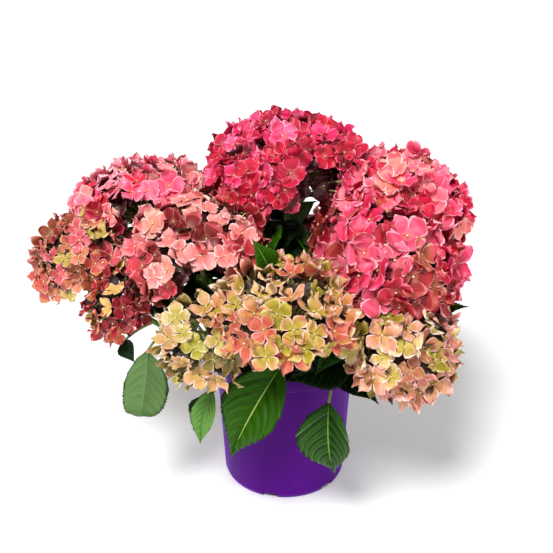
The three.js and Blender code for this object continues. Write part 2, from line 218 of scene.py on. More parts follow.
def pot_outline():
    """Radius and height round the pot's section, from the pad under it over the rim and
    down to the inside of its floor. Close rows over the notches keep the wall's shading even."""
    band = POT_HEIGHT - POT_RIM_HEIGHT
    floor = POT_RECESS + POT_WALL
    inner_foot = POT_FOOT_RADIUS - POT_FOOT_WIDTH
    corners = [
        (0, 0),
        (POT_PAD_RADIUS, 0),
        (POT_PAD_RADIUS + POT_RECESS, POT_RECESS),
        (inner_foot - POT_RECESS, POT_RECESS),
        (inner_foot, 0),
        (POT_FOOT_RADIUS, 0),
        (POT_BASE_RADIUS, POT_CHAMFER_HEIGHT),
        (wall_radius(POT_RECESS + 3), POT_RECESS + 3),
        (wall_radius(band - 3), band - 3),
        (wall_radius(band), band),
        (POT_RIM_RADIUS - 1, band + 1),
        (POT_RIM_RADIUS, POT_HEIGHT - 1.5),
        (POT_RIM_RADIUS - 1.5, POT_HEIGHT),
        (POT_MOUTH_RADIUS - POT_WALL + 1, POT_HEIGHT - 1),
        (wall_radius(floor) - POT_WALL, floor + 2),
        (wall_radius(floor) - POT_WALL - 3, floor),
        (0, floor),
    ]
    return rounded(corners, POT_ROUNDING)


def pot_columns():
    """Azimuths round the pot, each with whether it lies in a notch of the foot."""
    half = math.degrees(POT_NOTCH_WIDTH / 2 / POT_FOOT_RADIUS)
    columns = [(360 / POT_SIDES * k, None) for k in range(POT_SIDES)]
    for k in range(POT_NOTCHES):
        middle = (POT_FIRST_NOTCH + 360 / POT_NOTCHES * k) % 360
        for side in (-1, 1):
            for cut, step in ((False, POT_NOTCH_CORNER), (True, -POT_NOTCH_CORNER)):
                columns.append(((middle + side * (half + step)) % 360, cut))
    made = []
    for azimuth, cut in sorted(columns):
        if cut is None:
            offset = (azimuth - POT_FIRST_NOTCH + 180 / POT_NOTCHES) % (360 / POT_NOTCHES) - 180 / POT_NOTCHES
            cut = abs(offset) < half
        made.append((math.radians(azimuth), cut))
    return made


def pot_mesh():
    """The outline turned about the axis, lifted where a notch is cut out of the foot."""
    outline = pot_outline()
    columns = pot_columns()
    verts = []
    for azimuth, cut in columns:
        for r, z in outline:
            notched = cut and r > POT_FOOT_RADIUS - POT_NOTCH_WIDTH and z < POT_RECESS
            height = POT_RECESS if notched else z
            verts.append(Vector((r * math.cos(azimuth), r * math.sin(azimuth), height)) * MM)
    faces = []
    n = len(outline)
    for i in range(len(columns)):
        j = (i + 1) % len(columns)
        for k in range(n - 1):
            faces.append((i * n + k, j * n + k, j * n + k + 1, i * n + k + 1))
    return verts, faces


def pot_pattern(wires, place):
    """Moulded plastic: slow flow marks, a fine grain and a few paler scuffs."""
    flow = blotches(wires, place, 9, 2.0)
    grain = blotches(wires, place, 900, 2.0)
    scuff = blotches(wires, place, 60, 6.0, 0.7)
    scuffed = wires.node("ShaderNodeMapRange", None, {"Value": scuff, "From Min": 0.6, "From Max": 0.75})
    body = blend(wires, flow, (*srgb(60, 0, 96), 1), (*srgb(92, 0, 142), 1))
    return {
        "Base Color": blend(wires, scuffed * 0.12, body, (*srgb(120, 70, 180), 1)),
        "Roughness": 0.42 + scuffed * 0.16 + grain * 0.06,
        "Normal": bump(wires, grain, 0.00003),
    }


violet_plastic = paint(
    "VioletPlastic", srgb(72, 0, 118), 0.45, pot_pattern, Specular_IOR_Level=0.08,
    Sheen_Weight=1.0, Sheen_Roughness=0.3, Sheen_Tint=(*srgb(176, 84, 255), 1),
)
pot = piece_from("PotShell", *pot_mesh(), violet_plastic)
weld(pot)
mounted(pot, "pot_plastic", "pot")

# ----------------------------------------------------------------------------- compost
# Dark potting compost of peat and bark, pressed lightly round the crown, with loose
# crumbs and bark chips lying on it.

COMPOST_TOP = 132
COMPOST_SETTLED = 1.5
COMPOST_SKIRT = 20
CROWN_FLARE = 27
CRUMBS = 900
compost_radius = wall_radius(COMPOST_TOP) - POT_WALL - 0.6


def rise_and_fall(x, y, scale, height):
    """Gentle random ground relief in millimetres."""
    return noise.noise(Vector((x / scale, y / scale, 3.7))) * height


def compost_relief(x, y):
    """Humps and fine clods over the compost's level, in millimetres."""
    return rise_and_fall(x, y, 11, 2.2) + rise_and_fall(x, y, 3.5, 1.2)


def compost_mesh():
    """A round bed of fine rings that dips towards the pot's wall, with a skirt down inside it."""
    rings = 26
    sides = 96
    verts = []
    for i in range(rings + 1):
        r = compost_radius * i / rings
        for k in range(sides):
            a = 2 * math.pi * k / sides
            x, y = r * math.cos(a), r * math.sin(a)
            z = COMPOST_TOP - COMPOST_SETTLED + compost_relief(x, y)
            z -= 4 * max(0, r / compost_radius - 0.85)
            verts.append(Vector((x, y, z)) * MM)
    for k in range(sides):
        a = 2 * math.pi * k / sides
        low = (compost_radius - 1) * MM
        verts.append(Vector((low * math.cos(a), low * math.sin(a), (COMPOST_TOP - COMPOST_SKIRT) * MM)))
    faces = []
    for i in range(rings + 1):
        for k in range(sides):
            j = (k + 1) % sides
            faces.append((i * sides + k, i * sides + j, (i + 1) * sides + j, (i + 1) * sides + k))
    return verts, faces


def compost_pattern(wires, place):
    """Dark peat with paler clods and a fibrous relief."""
    clods = blotches(wires, place, 260, 6.0, 0.7)
    fibres = blotches(wires, place, 1500, 3.0)
    dark = (*srgb(34, 24, 17), 1)
    pale = (*srgb(82, 60, 42), 1)
    return {"Base Color": blend(wires, clods, dark, pale), "Normal": bump(wires, fibres + clods, 0.0006)}


compost_finish = paint("CompostFinish", srgb(52, 38, 27), 0.95, compost_pattern)
compost = piece_from("CompostBed", *compost_mesh(), compost_finish)
weld(compost)
mounted(compost, "compost", "compost")


def lump(name, bends, squash, seed):
    """A small irregular crumb of unit size."""
    form = bmesh.new()
    bmesh.ops.create_icosphere(form, subdivisions=1, radius=1)
    for vert in form.verts:
        shift = 1 + bends * noise.noise(vert.co * 1.7 + Vector((seed, 0, 0)))
        vert.co = Vector((vert.co.x * shift, vert.co.y * shift, vert.co.z * shift * squash))
    mesh = bpy.data.meshes.new(name)
    form.to_mesh(mesh)
    form.free()
    zone = mesh.attributes.new("zone", "INT", "FACE")
    zone.data.foreach_set("value", [0] * len(mesh.polygons))
    return bpy.data.objects.new(name, mesh)


def scatter_tree(name, shapes, paints, zones):
    """Geometry nodes that set one of the shapes on each place, turned to the place's own
    face and along directions, and give each face the paint of its zone and tint."""
    tree = bpy.data.node_groups.new(name, "GeometryNodeTree")
    sockets = tree.interface
    sockets.new_socket("Places", in_out="INPUT", socket_type="NodeSocketGeometry")
    for label, kind in (("Size", "Float"), ("Size jitter", "Float"), ("Tilt", "Float"), ("Seed", "Int")):
        sockets.new_socket(label, in_out="INPUT", socket_type="NodeSocket" + kind)
    sockets.new_socket("Piece", in_out="OUTPUT", socket_type="NodeSocketGeometry")
    group = tree.nodes.new("NodeGroupInput")
    given = {s.name: Wire(tree, s) for s in group.outputs if s.name}
    tie = Wire(tree)

    def named(attribute, kind):
        return tie.node("GeometryNodeInputNamedAttribute", {"data_type": kind}, {"Name": attribute})

    upright = tie.node(
        "FunctionNodeAlignRotationToVector", {"axis": "Z"}, {"Vector": named("face", "FLOAT_VECTOR")}
    )
    turned = tie.node(
        "FunctionNodeAlignRotationToVector",
        {"axis": "Y", "pivot_axis": "Z"},
        {"Rotation": upright, "Vector": named("along", "FLOAT_VECTOR")},
    )
    lean = tie.node(
        "FunctionNodeRandomValue",
        {"data_type": "FLOAT_VECTOR"},
        {"Min": (-1, -1, -1), "Max": (1, 1, 1), "Seed": given["Seed"]},
    )
    lean = tie.node("ShaderNodeVectorMath", {"operation": "SCALE"}, {"Vector": lean, "Scale": given["Tilt"]})
    rotation = tie.node(
        "FunctionNodeRotateRotation",
        {"rotation_space": "LOCAL"},
        {"Rotation": turned, "Rotate By": tie.node("FunctionNodeEulerToRotation", None, {"Euler": lean})},
    )
    spread = tie.node(
        "FunctionNodeRandomValue",
        {"data_type": "FLOAT"},
        {"Min": -1.0, "Max": 1.0, "Seed": given["Seed"] + 7},
    )
    factor = given["Size"] * (spread * given["Size jitter"] + 1)
    size = tie.node(
        "ShaderNodeVectorMath",
        {"operation": "SCALE"},
        {"Vector": named("size", "FLOAT_VECTOR"), "Scale": factor},
    )
    join = tree.nodes.new("GeometryNodeJoinGeometry")
    for number, shape in enumerate(shapes):
        chosen = tie.node(
            "FunctionNodeCompare",
            {"data_type": "INT", "operation": "EQUAL"},
            {"A": named("kind", "INT"), "B": number},
        )
        source = tie.node(
            "GeometryNodeObjectInfo", None, {"Object": shape, "As Instance": True}, out="Geometry"
        )
        copies = tie.node(
            "GeometryNodeInstanceOnPoints",
            None,
            {
                "Points": given["Places"],
                "Selection": chosen,
                "Instance": source,
                "Rotation": rotation,
                "Scale": size,
            },
        )
        tree.links.new(copies.socket, join.inputs[0])
    whole = tie.node("GeometryNodeRealizeInstances", None, {"Geometry": Wire(tree, join.outputs[0])})
    index = named("tint", "INT") * zones + named("zone", "INT")
    for number, one in enumerate(paints):
        chosen = tie.node(
            "FunctionNodeCompare",
            {"data_type": "FLOAT", "operation": "EQUAL"},
            {"A": index, "B": float(number), "Epsilon": 0.4},
        )
        whole = tie.node(
            "GeometryNodeSetMaterial", None, {"Geometry": whole, "Selection": chosen, "Material": one}
        )
    result = tree.nodes.new("NodeGroupOutput")
    tree.links.new(whole.socket, result.inputs[0])
    return tree


def scatter(name, places, shapes, paints, zones=1, jitter=0.0, tilt=0.0, seed=1):
    """The joined piece of a shape on every place. A place is its point, face, along, size,
    kind and tint."""
    carrier = bpy.data.meshes.new(name + "Places")
    carrier.from_pydata([tuple(p["at"]) for p in places], [], [])
    for key in ("face", "along", "size"):
        values = carrier.attributes.new(key, "FLOAT_VECTOR", "POINT")
        values.data.foreach_set("vector", np.array([tuple(p[key]) for p in places], float).ravel())
    for key in ("kind", "tint"):
        values = carrier.attributes.new(key, "INT", "POINT")
        values.data.foreach_set("value", [int(p[key]) for p in places])
    holder = bpy.data.objects.new(name + "Places", carrier)
    bpy.context.scene.collection.objects.link(holder)
    tree = scatter_tree(name, shapes, paints, zones)
    growth = holder.modifiers.new("Scatter", "NODES")
    growth.node_group = tree
    settings = {"Size": 1.0, "Size jitter": jitter, "Tilt": tilt, "Seed": seed}
    for item in tree.interface.items_tree:
        if item.in_out == "INPUT" and item.name in settings:
            growth[item.identifier] = settings[item.name]
    graph = bpy.context.evaluated_depsgraph_get()
    mesh = bpy.data.meshes.new_from_object(holder.evaluated_get(graph), depsgraph=graph)
    holder.modifiers.remove(growth)
    bpy.data.objects.remove(holder)
    for key in ("face", "along", "size", "kind", "tint", "zone"):
        if key in mesh.attributes:
            mesh.attributes.remove(mesh.attributes[key])
    mesh.name = name
    piece = bpy.data.objects.new(name, mesh)
    bpy.context.scene.collection.objects.link(piece)
    return piece


def chance(a, b):
    """The same number between 0 and 1 for the same pair of numbers."""
    wave = math.sin(a * 12.9898 + b * 78.233) * 43758.5453
    return wave - math.floor(wave)


def crumb_places():
    """Crumbs and chips strewn over the compost round the crown."""
    places = []
    for i in range(CRUMBS):
        r = (compost_radius - 2.5) * math.sqrt(chance(i, 1))
        a = 2 * math.pi * chance(i, 2)
        if r < CROWN_FLARE - 2:
            continue
        x, y = r * math.cos(a), r * math.sin(a)
        z = COMPOST_TOP - COMPOST_SETTLED + 0.3 + compost_relief(x, y)
        size = (0.5 + 1.6 * chance(i, 3) ** 3) * MM
        chip = chance(i, 4) > 0.7
        places.append({
            "at": Vector((x, y, z)) * MM,
            "face": (0, 0, 1),
            "along": (math.cos(7 * a), math.sin(7 * a), 0),
            "size": (size, size * (2.2 if chip else 1), size),
            "kind": int(chip),
            "tint": int(3 * chance(i, 5)),
        })
    return places


crumb_shapes = [lump("Crumb", 0.5, 0.8, 1), lump("BarkChip", 0.35, 0.4, 5)]
crumb_paints = [
    paint("PeatCrumb", srgb(40, 28, 20), 0.95),
    paint("BarkCrumb", srgb(78, 54, 36), 0.9),
    paint("PaleCrumb", srgb(112, 86, 62), 0.9),
]
crumbs = scatter("CompostCrumbs", crumb_places(), crumb_shapes, crumb_paints, tilt=0.5, seed=3)
mounted(crumbs, "compost", "compost")

# ------------------------------------------------------------------------------- crown
# The old woody base that the canes spring from: a root flare, a waist and a knuckled
# dome under grey-brown bark that flakes in upright strips.

CROWN_HEIGHT = 34
CROWN_DOME = 20
CROWN_DOME_CENTRE = 14


def crown_outline(share):
    """Radius and height over the compost from the flare's foot, at 0, to the top, at 1."""
    dome = []
    for elevation in (-15, 15, 45, 70, 90):
        t = math.radians(elevation)
        dome.append((CROWN_DOME * math.cos(t), CROWN_DOME_CENTRE + CROWN_DOME * math.sin(t)))
    points = [(CROWN_FLARE, 0.3), (CROWN_FLARE * 0.8, 5)] + dome
    place = share * (len(points) - 1)
    k = min(int(place), len(points) - 2)
    t = place - k
    (r0, z0), (r1, z1) = points[k], points[k + 1]
    return r0 + (r1 - r0) * t, z0 + (z1 - z0) * t


def crown_mesh():
    """The crown turned about its axis, with ridges and flakes of bark."""
    rows = 48
    sides = 96
    verts = [Vector((0, 0, COMPOST_TOP + 0.3)) * MM]
    for i in range(rows):
        r, z = crown_outline(i / (rows - 1) * 0.985)
        for k in range(sides):
            a = 2 * math.pi * k / sides
            strip = noise.noise(Vector((math.cos(a) * 4.5, math.sin(a) * 4.5, z * 0.05)))
            flake = noise.noise(Vector((math.cos(a) * 14, math.sin(a) * 14, z * 0.25)))
            grown = r + (1.3 * abs(strip) + 0.6 * flake - 0.6) * min(1, r / 8)
            verts.append(Vector((grown * math.cos(a), grown * math.sin(a), COMPOST_TOP + z)) * MM)
    verts.append(Vector((0, 0, COMPOST_TOP + CROWN_HEIGHT)) * MM)
    faces = []
    for k in range(sides):
        j = (k + 1) % sides
        faces.append((0, 1 + j, 1 + k))
        last = 1 + (rows - 1) * sides
        faces.append((len(verts) - 1, last + k, last + j))
        for i in range(rows - 1):
            a, b = 1 + i * sides, 1 + (i + 1) * sides
            faces.append((a + k, a + j, b + j, b + k))
    return verts, faces


def bark_pattern(wires, place):
    """Grey-brown strips that run upwards, with fine flecks."""
    upright = wires.node("ShaderNodeMapping", None, {"Vector": place, "Scale": (1, 1, 0.22)})
    strips = blotches(wires, upright, 420, 5.0, 0.65)
    flecks = blotches(wires, place, 1400, 2.0)
    return {
        "Base Color": blend(wires, strips, (*srgb(58, 42, 30), 1), (*srgb(150, 124, 96), 1)),
        "Roughness": 0.75 + flecks * 0.2,
        "Normal": bump(wires, strips + flecks * 0.3, 0.0008),
    }


bark = paint("OldBark", srgb(104, 82, 62), 0.9, bark_pattern)
crown = piece_from("StemBaseBark", *crown_mesh(), bark)
mounted(crown, "bark", "crown")

# ------------------------------------------------------------------------------- canes
# Thirteen canes of last year's wood and this year's green. Each leaves the crown
# squarely, bends up towards the light and tapers to the neck of its flower head, with a
# swollen joint wherever a pair of leaves stands.

CANE_BASE_RADIUS = 3.8
CANE_TIP_RADIUS = 2.5
CANE_BARE = 0.42
CANE_GAP = 0.3
JOINT_SWELLING = 0.9
JOINT_LENGTH = 0.018

# Millimetres and degrees. centre, across, rise and drop size the flower head; lean is its
# tilt as a share of the cane's; out is the cane's azimuth and angle from upright at the
# crown; pairs are the leaf pairs' shares of the cane; turn is the first pair's azimuth;
# blade is the leaves' length.
SHOOTS = {
    "top": dict(centre=(1, 20, 327), across=81, rise=47, drop=38, lean=0.3,
                out=(90, 0), pairs=(0.5, 0.68, 0.86), turn=60, blade=92),
    "upper_left": dict(centre=(-143, 38, 281), across=73, rise=38, drop=26, lean=0.35,
                       out=(163, 38), pairs=(0.52, 0.7, 0.88), turn=80, blade=92),
    "far_left": dict(centre=(-192, -6, 246), across=56, rise=42, drop=36, lean=0.55,
                     out=(174, 68), pairs=(0.5,), turn=120, blade=84),
    "low_left": dict(centre=(-150, -46, 219), across=42, rise=36, drop=28, lean=0.7,
                     out=(206, 66), pairs=(), turn=0, blade=70),
    "left": dict(centre=(-81, -60, 280), across=69, rise=44, drop=28, lean=0.4,
                 out=(216, 36), pairs=(0.55, 0.78), turn=30, blade=84),
    "front": dict(centre=(-2, -128, 250), across=66, rise=34, drop=26, lean=0.3,
                  out=(268, 62), pairs=(), turn=0, blade=80),
    "front_left": dict(centre=(-71, -115, 213), across=45, rise=42, drop=32, lean=0.7,
                       out=(240, 68), pairs=(), turn=0, blade=70),
    "upper_right": dict(centre=(104, 10, 285), across=76, rise=61, drop=44, lean=0.5,
                        out=(6, 38), pairs=(0.5, 0.7, 0.86), turn=50, blade=92),
    "right": dict(centre=(91, -58, 263), across=76, rise=56, drop=42, lean=0.5,
                  out=(330, 44), pairs=(0.5, 0.74), turn=20, blade=86),
    "lower_right": dict(centre=(99, -95, 205), across=65, rise=50, drop=32, lean=0.65,
                        out=(312, 66), pairs=(), turn=60, blade=76),
    "back_left": dict(centre=(-88, 118, 224), across=66, rise=44, drop=36, lean=0.7,
                      out=(124, 42), pairs=(0.5, 0.7, 0.88), turn=40, blade=90),
    "back_right": dict(centre=(108, 112, 236), across=66, rise=46, drop=36, lean=0.7,
                       out=(50, 42), pairs=(0.5, 0.7, 0.88), turn=70, blade=92),
    "back": dict(centre=(8, 150, 176), across=60, rise=40, drop=34, lean=0.8,
                 out=(88, 60), pairs=(0.6, 0.84), turn=20, blade=88),
}
UP = Vector((0, 0, 1))


def pointing(azimuth, elevation):
    """A unit vector at an azimuth and an elevation, both in degrees."""
    a = math.radians(azimuth)
    e = math.radians(elevation)
    return Vector((math.cos(e) * math.cos(a), math.cos(e) * math.sin(a), math.sin(e)))


def across_of(direction):
    """Two unit vectors square to a direction and to each other."""
    seed = UP if abs(direction.z) < 0.9 else Vector((1, 0, 0))
    u = seed.cross(direction).normalized()
    return u, direction.cross(u).normalized()


def head_axis(shoot):
    """The flower head's axis, which leans away from the crown."""
    x, y, z = shoot["centre"]
    lean = math.atan2(math.hypot(x, y), z - COMPOST_TOP) * shoot["lean"]
    azimuth = math.atan2(y, x)
    return Vector((math.sin(lean) * math.cos(azimuth), math.sin(lean) * math.sin(azimuth), math.cos(lean)))


def head_point(shoot, angle, turn, share):
    """The point of a head at an angle from its axis and a turn about it."""
    axis = head_axis(shoot)
    u, v = across_of(axis)
    reach = shoot["rise"] if math.cos(angle) > 0 else shoot["drop"]
    across = math.sin(angle) * shoot["across"]
    offset = axis * math.cos(angle) * reach + u * across * math.cos(turn) + v * across * math.sin(turn)
    return Vector(shoot["centre"]) + offset * share


def head_share(shoot, point):
    """How far a point is from a head's middle, where 1 is on the head's outside."""
    axis = head_axis(shoot)
    offset = point - Vector(shoot["centre"])
    rise = offset.dot(axis)
    across = (offset - axis * rise).length
    return math.hypot(rise / (shoot["rise"] if rise > 0 else shoot["drop"]), across / shoot["across"])


def cane_line(shoot):
    """The four points of the cane's curve, in millimetres."""
    axis = head_axis(shoot)
    start = pointing(shoot["out"][0], 90 - shoot["out"][1])
    foot = Vector((0, 0, COMPOST_TOP + CROWN_DOME_CENTRE)) + start * (CROWN_DOME + CANE_GAP)
    neck = Vector(shoot["centre"]) - axis * (shoot["drop"] + 6)
    reach = (neck - foot).length
    return foot, foot + start * reach * 0.38, neck - axis * reach * 0.3, neck


def along(line, t):
    """The point at a share of the curve through a cane's four points."""
    a, b, c, d = line
    return a * (1 - t) ** 3 + b * 3 * t * (1 - t) ** 2 + c * 3 * t * t * (1 - t) + d * t**3


def tube(verts, faces, centres, radii, sides, relief=None):
    """Adds a closed tapering tube along centres, in metres, to verts and faces."""
    first = len(verts)
    u, v = across_of((centres[1] - centres[0]).normalized())
    for i, (centre, radius) in enumerate(zip(centres, radii)):
        ahead = (centres[min(i + 1, len(centres) - 1)] - centres[max(i - 1, 0)]).normalized()
        u = (u - ahead * u.dot(ahead)).normalized()
        v = ahead.cross(u)
        for k in range(sides):
            a = 2 * math.pi * k / sides
            r = radius * (relief(i, a) if relief else 1)
            verts.append(centre + u * (r * math.cos(a)) + v * (r * math.sin(a)))
    for i in range(len(centres) - 1):
        for k in range(sides):
            j = (k + 1) % sides
            low = first + i * sides
            faces.append((low + k, low + j, low + sides + j, low + sides + k))
    last = first + (len(centres) - 1) * sides
    faces.append(tuple(first + k for k in reversed(range(sides))))
    faces.append(tuple(last + k for k in range(sides)))


def limb_radius(shoot, t):
    """The cane's taper, with a swelling at every pair of leaves."""
    radius = CANE_BASE_RADIUS + (CANE_TIP_RADIUS - CANE_BASE_RADIUS) * t
    for pair in shoot["pairs"]:
        radius += JOINT_SWELLING * math.exp(-(((t - pair) / JOINT_LENGTH) ** 2))
    return radius


def limb_relief(number, roughened):
    """Ridges and flecks round a cane, as a share of its radius, other ones on each cane."""

    def relief(i, a):
        ridge = noise.noise(Vector((math.cos(a) * 2.2, math.sin(a) * 2.2, i * 0.11 + number * 9)))
        fleck = noise.noise(Vector((math.cos(a) * 6, math.sin(a) * 6, i * 0.6 + number * 9)))
        return 1 + roughened * (0.1 * abs(ridge) + 0.05 * fleck)

    return relief


def limbs(start, end, rings, sides, roughened):
    """All the canes between two shares of their length, as one mesh."""
    verts, faces = [], []
    shares = [start + (end - start) * i / rings for i in range(rings + 1)]
    for number, shoot in enumerate(SHOOTS.values()):
        line = cane_line(shoot)
        centres = [along(line, t) * MM for t in shares]
        radii = [limb_radius(shoot, t) * MM for t in shares]
        tube(verts, faces, centres, radii, sides, limb_relief(number, roughened))
    return verts, faces


def cane_pattern(wires, place):
    """Brown-green streaked bark with pale raised dots."""
    streaks = blotches(wires, place, 300, 5.0, 0.7)
    dots = blotches(wires, place, 2600, 1.0)
    dotted = wires.node("ShaderNodeMapRange", None, {"Value": dots, "From Min": 0.62, "From Max": 0.7})
    wood = blend(wires, streaks, (*srgb(92, 74, 44), 1), (*srgb(126, 128, 66), 1))
    return {
        "Base Color": blend(wires, dotted * 0.6, wood, (*srgb(170, 150, 118), 1)),
        "Normal": bump(wires, streaks + dotted * 0.4, 0.0004),
    }


cane_wood = paint("CaneWood", srgb(110, 102, 56), 0.75, cane_pattern)
canes = piece_from("CanesBark", *limbs(0, CANE_BARE, 40, 14, 1.0), cane_wood)
mounted(canes, "cane", *[f"cane_{name}" for name in SHOOTS])

young_green = paint("YoungGreen", srgb(112, 146, 54), 0.5)
stems = piece_from("GreenStems", *limbs(CANE_BARE, 1, 60, 12, 0.35), young_green)
mounted(stems, "foliage", *[f"leaves_{name}" for name in SHOOTS])

# ------------------------------------------------------------------------------ leaves
# Broad ovate leaves with a drawn-out tip and a saw-toothed margin. The blade swells
# between sunken side veins that curve forward, is satin dark green above and paler
# below, and stands on a short grooved stalk.

LEAF_WIDTH = 0.31
LEAF_ARCH = 0.1
LEAF_THICKNESS = 0.008
LEAF_TOOTH = 0.035
LEAF_TOOTH_NOTCH = -0.012
LEAF_QUILT = 0.036
LEAF_STALK = 24
LEAF_STALK_RADIUS = 1.9
LEAF_STALK_TAPER = 0.8
LEAF_STALK_END = 0.6
LEAF_LOOK_OUT = 0.8
LEAF_TRIES = 14
LEAF_VEINS = 8
VEIN_ROWS = 4
VEIN_WIDTH = 0.0075
VEIN_SWEEP = 0.42
LEAF_LAST_ROW = 0.985
LEAF_COLUMNS = 7
CURL_FROM = 0.57

# Tries at a small inner leaf on each cane, and the room that such leaves keep: outside
# every head's middle, over the pot's rim and within the plant's outline.
INNER_LEAVES = 8
INNER_LEAF_WIDTH = 0.33
INNER_LEAF_HEAD_SHARE = 0.8
INNER_LEAF_OVER_COMPOST = 12
INNER_LEAF_REACH = 130
INNER_LEAF_FRONT = -85

# Leaves that hang clear of the flower heads: the cane, its share, the blade's base and
# tip in millimetres, half-width as a share of length, roll in degrees, tint.
CLEAR_LEAVES = [
    ("front", 0.7, (-2, -106, 185), (-52, -122, 91), 0.26, 0, "olive"),
    ("lower_right", 0.5, (40, -104, 142), (45, -115, 67), 0.34, 42, "glossy"),
    ("lower_right", 0.85, (60, -84, 174), (0, -98, 160), 0.4, 0, "deep"),
    ("low_left", 0.8, (-128, -68, 176), (-139, -98, 98), 0.26, 135, "grey"),
    ("front_left", 0.7, (-66, -106, 159), (-79, -116, 102), 0.19, -20, "fresh"),
    ("front_left", 0.55, (-70, -78, 132), (-87, -94, 104), 0.3, 0, "deep"),
    ("lower_right", 0.66, (50, -80, 152), (86, -106, 142), 0.36, 0, "deep"),
    ("front", 0.55, (-14, -98, 274), (-29, -106, 308), 0.3, 0, "olive"),
    ("low_left", 0.95, (-150, -52, 179), (-141, -66, 161), 0.4, 0, "deep"),
    ("right", 0.85, (118, -50, 202), (166, -74, 226), 0.3, 55, "mid"),
    ("top", 0.8, (4, 12, 262), (30, 6, 297), 0.32, 0, "deep"),
]
# Each tint: the blade, its side veins and its midrib, then how dark the painted shade of
# its hollows is beside the blade, how shiny it is and how rough.
LEAF_TINTS = {
    "deep": ((13, 40, 6), (22, 52, 12), (42, 76, 26), 0.8, 0.15, 0.42),
    "mid": ((24, 66, 8), (40, 84, 20), (92, 132, 54), 0.82, 0.15, 0.42),
    "glossy": ((38, 84, 14), (104, 142, 76), (134, 168, 84), 0.68, 0.2, 0.35),
    "olive": ((42, 90, 0), (68, 112, 14), (160, 184, 96), 0.88, 0.15, 0.4),
    "grey": ((58, 88, 44), (74, 102, 58), (92, 116, 72), 0.88, 0.1, 0.6),
    "fresh": ((104, 152, 70), (122, 164, 88), (150, 184, 110), 0.93, 0.1, 0.5),
}
# The underside and its veins.
LEAF_UNDER = ((98, 130, 74), (108, 138, 84))
# The shape of a clear leaf of a tint, by its number, where it isn't the flat one.
CLEAR_LEAF_SHAPES = {"grey": 3, "glossy": 1}
# The zones of paint on a leaf, by number: the shaded hollow is the blade beyond each side vein, painted
# darker as shade.
LEAF_BLADE, LEAF_VEIN, LEAF_MIDRIB, LEAF_BACK, LEAF_BACK_VEIN, LEAF_SHADED_HOLLOW = range(6)

# The half-width at shares of the length, for the usual blade and for the one that curls.
LEAF_OUTLINE = ((0, 0.03), (0.04, 0.3), (0.1, 0.56), (0.2, 0.83), (0.31, 0.97), (0.42, 1), (0.54, 0.9),
                (0.66, 0.62), (0.76, 0.37), (0.84, 0.19), (0.91, 0.08), (1, 0.0))
BLUNT_OUTLINE = ((0, 0.03), (0.04, 0.2), (0.12, 0.46), (0.25, 0.76), (0.4, 0.97), (0.52, 1), (0.66, 0.88),
                 (0.8, 0.62), (0.91, 0.3), (1, 0.0))


def leaf_half_width(outline, t):
    """The blade's half-width, 1 at its widest, from its base to its tip."""
    for (t0, w0), (t1, w1) in zip(outline, outline[1:]):
        if t <= t1:
            return w0 + (w1 - w0) * (t - t0) / (t1 - t0)
    return 0.0


def zoned_shape(name, verts, faces, zones):
    """A shape to scatter, each face of it marked with its zone of paint."""
    mesh = bpy.data.meshes.new(name)
    mesh.from_pydata(verts, [], faces)
    mesh.attributes.new("zone", "INT", "FACE").data.foreach_set("value", zones)
    mesh.polygons.foreach_set("use_smooth", [True] * len(faces))
    mesh.update()
    return bpy.data.objects.new(name, mesh)


